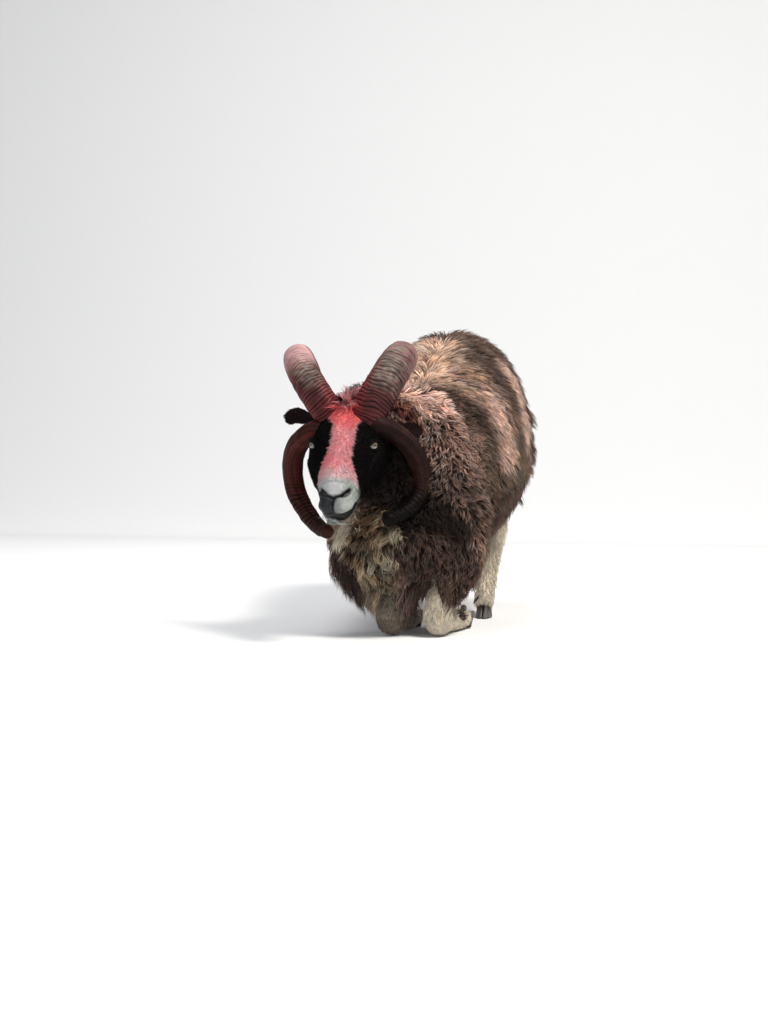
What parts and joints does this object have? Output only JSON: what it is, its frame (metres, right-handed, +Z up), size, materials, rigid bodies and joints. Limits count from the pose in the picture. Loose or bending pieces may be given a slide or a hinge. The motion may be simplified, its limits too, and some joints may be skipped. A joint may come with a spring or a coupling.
{
  "type": "jacob sheep ram",
  "caption": "Still life-size Jacob ram down on its front knees, hind legs standing, with curling upper and side horns and a shaggy patched fleece.",
  "frame": {"origin": "middle of the model's bounding box, at the level of the floor", "axes": "+Z up, -Y the way the ram faces, +X the ram's left"},
  "size_m": [0.5616, 1.1794, 0.7502],
  "materials": {
    "fleece": "long matted wool, brown bleached to tan and cream in patches",
    "leg_hair": "short cream and brown hair and wool",
    "face_hair": "short flat black hair with a white blaze stained red",
    "horn": "ridged dark horn with a dull sheen",
    "hoof": "dark worn horn",
    "eye": "wet amber with a level slot pupil"
  },
  "bodies": {
    "root": {"claw_fore_left_inner": "hoof", "claw_fore_left_outer": "hoof", "claw_fore_right_inner": "hoof", "claw_fore_right_outer": "hoof", "claw_hind_left_inner": "hoof", "claw_hind_left_outer": "hoof", "claw_hind_right_inner": "hoof", "claw_hind_right_outer": "hoof", "dewclaw_fore_left_inner": "hoof", "dewclaw_fore_left_outer": "hoof", "dewclaw_fore_right_inner": "hoof", "dewclaw_fore_right_outer": "hoof", "dewclaw_hind_left_inner": "hoof", "dewclaw_hind_left_outer": "hoof", "dewclaw_hind_right_inner": "hoof", "dewclaw_hind_right_outer": "hoof", "ear_left": "face_hair", "ear_right": "face_hair", "eye_left": "eye", "eye_right": "eye", "foreleg_left": "leg_hair", "foreleg_right": "leg_hair", "head": "face_hair", "hindleg_left": "leg_hair", "hindleg_right": "leg_hair", "horn_side_left": "horn", "horn_side_right": "horn", "horn_upper_left": "horn", "horn_upper_right": "horn", "neck": "fleece", "scrotum": "leg_hair", "tail": "fleece", "trunk": "fleece"}
  },
  "joints": []
}
